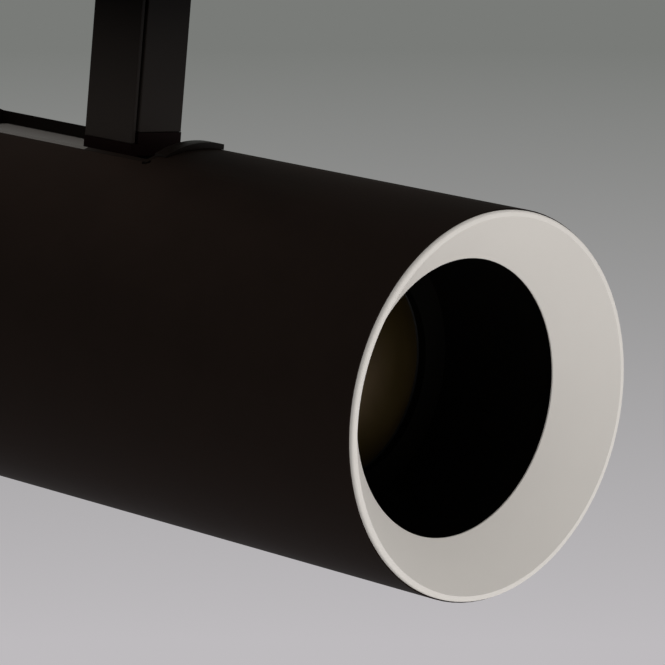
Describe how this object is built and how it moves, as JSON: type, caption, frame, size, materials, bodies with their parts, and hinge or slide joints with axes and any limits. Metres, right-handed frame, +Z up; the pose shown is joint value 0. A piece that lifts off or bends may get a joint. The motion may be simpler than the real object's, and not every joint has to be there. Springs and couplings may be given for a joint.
{
  "type": "ceiling spotlight",
  "caption": "Black cylinder spotlight with a white bevelled ring, tilting on a square stem that swivels under a round ceiling canopy, with an ellipsoidal reflector, gate and lens inside.",
  "frame": {"origin": "centre of the mounting plate's upper face, on the swivel axis", "axes": "+Z up into the ceiling along the stem, +X along the tube towards the light's mouth"},
  "size_m": [0.2345, 0.11, 0.273],
  "materials": {
    "black_powder_coat": "matt fine-texture powder coat",
    "satin_black_paint": "satin paint",
    "black_coated_aluminium": "matt fine-texture powder coat",
    "white_coated_aluminium": "matt paint",
    "flat_black_plastic": "flat",
    "black_anodised": "anodised",
    "black_moulded_plastic": "moulded, fine grain",
    "cast_alloy": "die-cast, blackened",
    "zinc_steel": "zinc plated",
    "spring_steel": "rolled",
    "black_steel": "black oxide",
    "bearing_plastic": "moulded",
    "black_rubber": "matt",
    "lens_glass": "polished",
    "polished_aluminium": "bright",
    "raw_aluminium": "extruded",
    "white_plastic": "moulded",
    "white_board": "solder mask",
    "phosphor": "silicone over phosphor"
  },
  "bodies": {
    "base": {"mounting_plate": "zinc_steel", "canopy_cover": "black_powder_coat", "canopy_screws": "black_steel", "led_driver": "white_plastic", "driver_screws": "zinc_steel", "terminal_block": "white_plastic", "swivel_bush": "bearing_plastic", "stop_pin": "zinc_steel"},
    "arm": {"swivel_spigot": "zinc_steel", "swivel_washer": "zinc_steel", "swivel_nut": "zinc_steel", "stem_channel": "satin_black_paint", "stem_cover": "satin_black_paint", "fork_insert": "cast_alloy", "stem_screws": "black_steel", "hinge_pin": "zinc_steel", "friction_washers": "bearing_plastic"},
    "head": {"body_tube": "black_coated_aluminium", "arm_tray": "black_moulded_plastic", "tilt_bracket": "cast_alloy", "bracket_screws": "zinc_steel", "tray_grommet": "black_rubber", "front_ring": "white_coated_aluminium", "baffle_tube": "flat_black_plastic", "lens_seal": "black_rubber", "lens": "lens_glass", "lens_retainer": "flat_black_plastic", "gate_plate": "spring_steel", "reflector": "polished_aluminium", "optic_sleeve": "black_anodised", "sleeve_screws": "zinc_steel", "led_board": "white_board", "led_emitter": "phosphor", "led_holder": "white_plastic", "holder_screws": "zinc_steel", "heat_sink": "raw_aluminium", "retaining_rings": "spring_steel", "rear_cap": "black_coated_aluminium", "rear_cap_screws": "black_steel"}
  },
  "joints": [
    {"name": "pan", "type": "hinge", "parent": "base", "child": "arm", "pos_m": [0, 0, -0.0296], "axis": [0, 0, 1], "range_deg": [-170, 170]},
    {"name": "tilt", "type": "hinge", "parent": "arm", "child": "head", "pos_m": [0, 0, -0.182], "axis": [0, 1, 0], "range_deg": [0, 90]}
  ]
}
